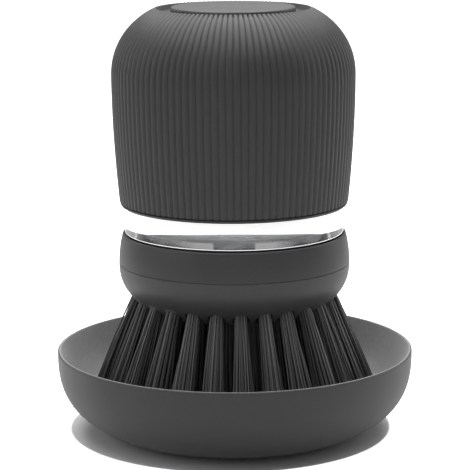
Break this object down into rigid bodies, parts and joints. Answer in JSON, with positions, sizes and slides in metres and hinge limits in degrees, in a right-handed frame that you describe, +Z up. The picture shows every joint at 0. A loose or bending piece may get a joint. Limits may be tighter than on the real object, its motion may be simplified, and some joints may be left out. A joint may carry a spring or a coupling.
{
  "type": "soap dispensing dish brush",
  "caption": "Palm dish brush with a ribbed dome grip, push button and clear soap reservoir, standing on its bristles in a round drip tray.",
  "frame": {"origin": "Centre of the drip tray's soft ring, on the surface that the tray stands on.", "axes": "+Z is up, along the axis that every turned piece shares. The front in the picture faces -Y, and +X is to its right."},
  "size_m": [0.092, 0.092, 0.1103],
  "materials": {
    "tray_plastic": "satin",
    "grip_ring_rubber": "matte",
    "head_plastic": "satin",
    "bristle_nylon": "satin",
    "collar_plastic": "satin",
    "clear_plastic": "clear and glossy",
    "nozzle_plastic": "satin",
    "seal_rubber": "matte",
    "valve_silicone": "matte",
    "retainer_plastic": "satin",
    "dome_plastic": "satin",
    "liner_plastic": "satin",
    "spring_steel": "drawn wire",
    "button_plastic": "satin",
    "plunger_plastic": "satin",
    "piston_seal_rubber": "matte"
  },
  "bodies": {
    "tray": {"drip_tray": "tray_plastic", "anti_slip_ring": "grip_ring_rubber"},
    "vessel": {"collar_ring": "collar_plastic", "reservoir": "clear_plastic", "outlet_nozzle": "nozzle_plastic", "nozzle_gasket": "seal_rubber", "slit_valve": "valve_silicone", "valve_retainer": "retainer_plastic"},
    "head": {"brush_head": "head_plastic", "tuft_outer_01": "bristle_nylon", "tuft_outer_02": "bristle_nylon", "tuft_outer_03": "bristle_nylon", "tuft_outer_04": "bristle_nylon", "tuft_outer_05": "bristle_nylon", "tuft_outer_06": "bristle_nylon", "tuft_outer_07": "bristle_nylon", "tuft_outer_08": "bristle_nylon", "tuft_outer_09": "bristle_nylon", "tuft_outer_10": "bristle_nylon", "tuft_outer_11": "bristle_nylon", "tuft_outer_12": "bristle_nylon", "tuft_outer_13": "bristle_nylon", "tuft_outer_14": "bristle_nylon", "tuft_outer_15": "bristle_nylon", "tuft_outer_16": "bristle_nylon", "tuft_outer_17": "bristle_nylon", "tuft_outer_18": "bristle_nylon", "tuft_outer_19": "bristle_nylon", "tuft_outer_20": "bristle_nylon", "tuft_outer_21": "bristle_nylon", "tuft_outer_22": "bristle_nylon", "tuft_outer_23": "bristle_nylon", "tuft_outer_24": "bristle_nylon", "tuft_outer_25": "bristle_nylon", "tuft_outer_26": "bristle_nylon", "tuft_middle_01": "bristle_nylon", "tuft_middle_02": "bristle_nylon", "tuft_middle_03": "bristle_nylon", "tuft_middle_04": "bristle_nylon", "tuft_middle_05": "bristle_nylon", "tuft_middle_06": "bristle_nylon", "tuft_middle_07": "bristle_nylon", "tuft_middle_08": "bristle_nylon", "tuft_middle_09": "bristle_nylon", "tuft_middle_10": "bristle_nylon", "tuft_middle_11": "bristle_nylon", "tuft_middle_12": "bristle_nylon", "tuft_middle_13": "bristle_nylon", "tuft_middle_14": "bristle_nylon", "tuft_middle_15": "bristle_nylon", "tuft_middle_16": "bristle_nylon"},
    "cap_seal": {"cap_gasket": "seal_rubber"},
    "cap": {"dome_grip": "dome_plastic", "cap_liner": "liner_plastic", "return_spring": "spring_steel", "air_inlet_valve": "valve_silicone"},
    "button": {"push_button": "button_plastic", "plunger": "plunger_plastic", "piston_seal": "piston_seal_rubber"}
  },
  "joints": [
    {"name": "lift_from_tray", "type": "slide", "parent": "tray", "child": "vessel", "axis": [0, 0, 1], "range_m": [0, 0.04]},
    {"name": "head_twist", "type": "hinge", "parent": "vessel", "child": "head", "pos_m": [0, 0, 0.04485], "axis": [0, 0, 1], "range_deg": [0, 40]},
    {"name": "cap_rise", "type": "slide", "parent": "vessel", "child": "cap_seal", "axis": [0, 0, 1], "range_m": [0, 0.0121]},
    {"name": "cap_turn", "type": "hinge", "parent": "cap_seal", "child": "cap", "pos_m": [0, 0, 0.0598], "axis": [0, 0, 1], "range_deg": [0, 720]},
    {"name": "button_press", "type": "slide", "parent": "cap", "child": "button", "axis": [0, 0, -1], "range_m": [0, 0.005], "stiffness_N_per_m": 700, "springref_m": -0.003, "deforming": ["return_spring"]}
  ],
  "couplings": [
    {"joint": "cap_rise", "follows": "cap_turn", "m_per_rad": 0.00095493}
  ]
}
